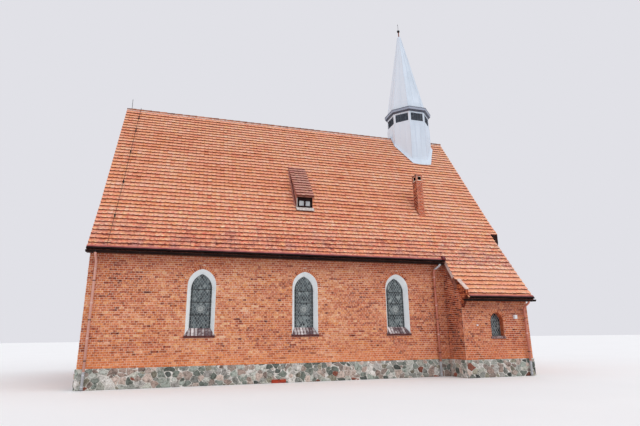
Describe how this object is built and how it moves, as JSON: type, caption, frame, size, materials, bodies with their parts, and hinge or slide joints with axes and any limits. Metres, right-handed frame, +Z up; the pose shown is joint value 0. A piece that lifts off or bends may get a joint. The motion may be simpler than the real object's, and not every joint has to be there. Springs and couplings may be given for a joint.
{
  "type": "village church building",
  "caption": "Brick church with a steep tiled roof, fieldstone plinth, catslide annex, pointed windows, chimney, roof dormer and an octagonal ridge turret with spire.",
  "frame": {"origin": "middle of the nave's footprint, on the ground under the floor slab", "axes": "+Z up; the long wall with three windows faces -Y; the annex and the ridge turret are at the +X end"},
  "size_m": [17.9453, 12.1466, 20.46],
  "materials": {
    "brick": "orange-red brick laid in courses with pale lime mortar",
    "fieldstone": "split fieldstones of grey, pink and dark colours in pale mortar",
    "concrete": "plain grey concrete",
    "roof_tile": "fired clay plain tiles, salmon red with dark lichen low down",
    "window_glass": "leaded diamond panes, dark from outside",
    "door_wood": "boarded oak, dark stained",
    "dark_timber": "weathered dark timber",
    "gutter_metal": "dark brown painted sheet",
    "pipe_metal": "brick-red painted sheet",
    "turret_sheet": "pale blue-grey sheet metal with upright seams"
  },
  "bodies": {
    "root": {"plinth_front": "fieldstone", "plinth_back": "fieldstone", "plinth_west": "fieldstone", "plinth_east": "fieldstone", "plinth_annex": "fieldstone", "nave_floor": "concrete", "annex_floor": "concrete", "west_steps": "concrete", "wall_front": "brick", "wall_back": "brick", "gable_west": "brick", "gable_east": "brick", "annex_wall_west": "brick", "annex_wall_front": "brick", "annex_kneeler": "brick", "chimney_shaft": "brick", "chimney_head": "brick", "roof_front_upper": "roof_tile", "roof_front_lower": "roof_tile", "roof_back_upper": "roof_tile", "roof_back_lower": "roof_tile", "roof_annex": "roof_tile", "dormer_roof": "roof_tile", "dormer_body": "dark_timber", "dormer_window": "window_glass", "verge_bracket_front": "dark_timber", "verge_bracket_back": "dark_timber", "gutter_front": "gutter_metal", "gutter_annex": "gutter_metal", "gutter_back": "gutter_metal", "downpipe_west": "pipe_metal", "downpipe_corner": "pipe_metal", "downpipe_annex": "pipe_metal", "downpipe_back": "pipe_metal", "front_window_1": "window_glass", "front_window_2": "window_glass", "front_window_3": "window_glass", "back_window_1": "window_glass", "back_window_2": "window_glass", "back_window_3": "window_glass", "back_window_4": "window_glass", "west_window": "window_glass", "east_window_1": "window_glass", "east_window_2": "window_glass", "annex_window": "window_glass", "west_door": "door_wood", "turret_body": "turret_sheet", "turret_lantern": "turret_sheet", "turret_louvres": "dark_timber", "turret_cornice": "turret_sheet", "turret_spire": "turret_sheet", "turret_finial": "turret_sheet", "lightning_rod": "gutter_metal"}
  },
  "joints": []
}
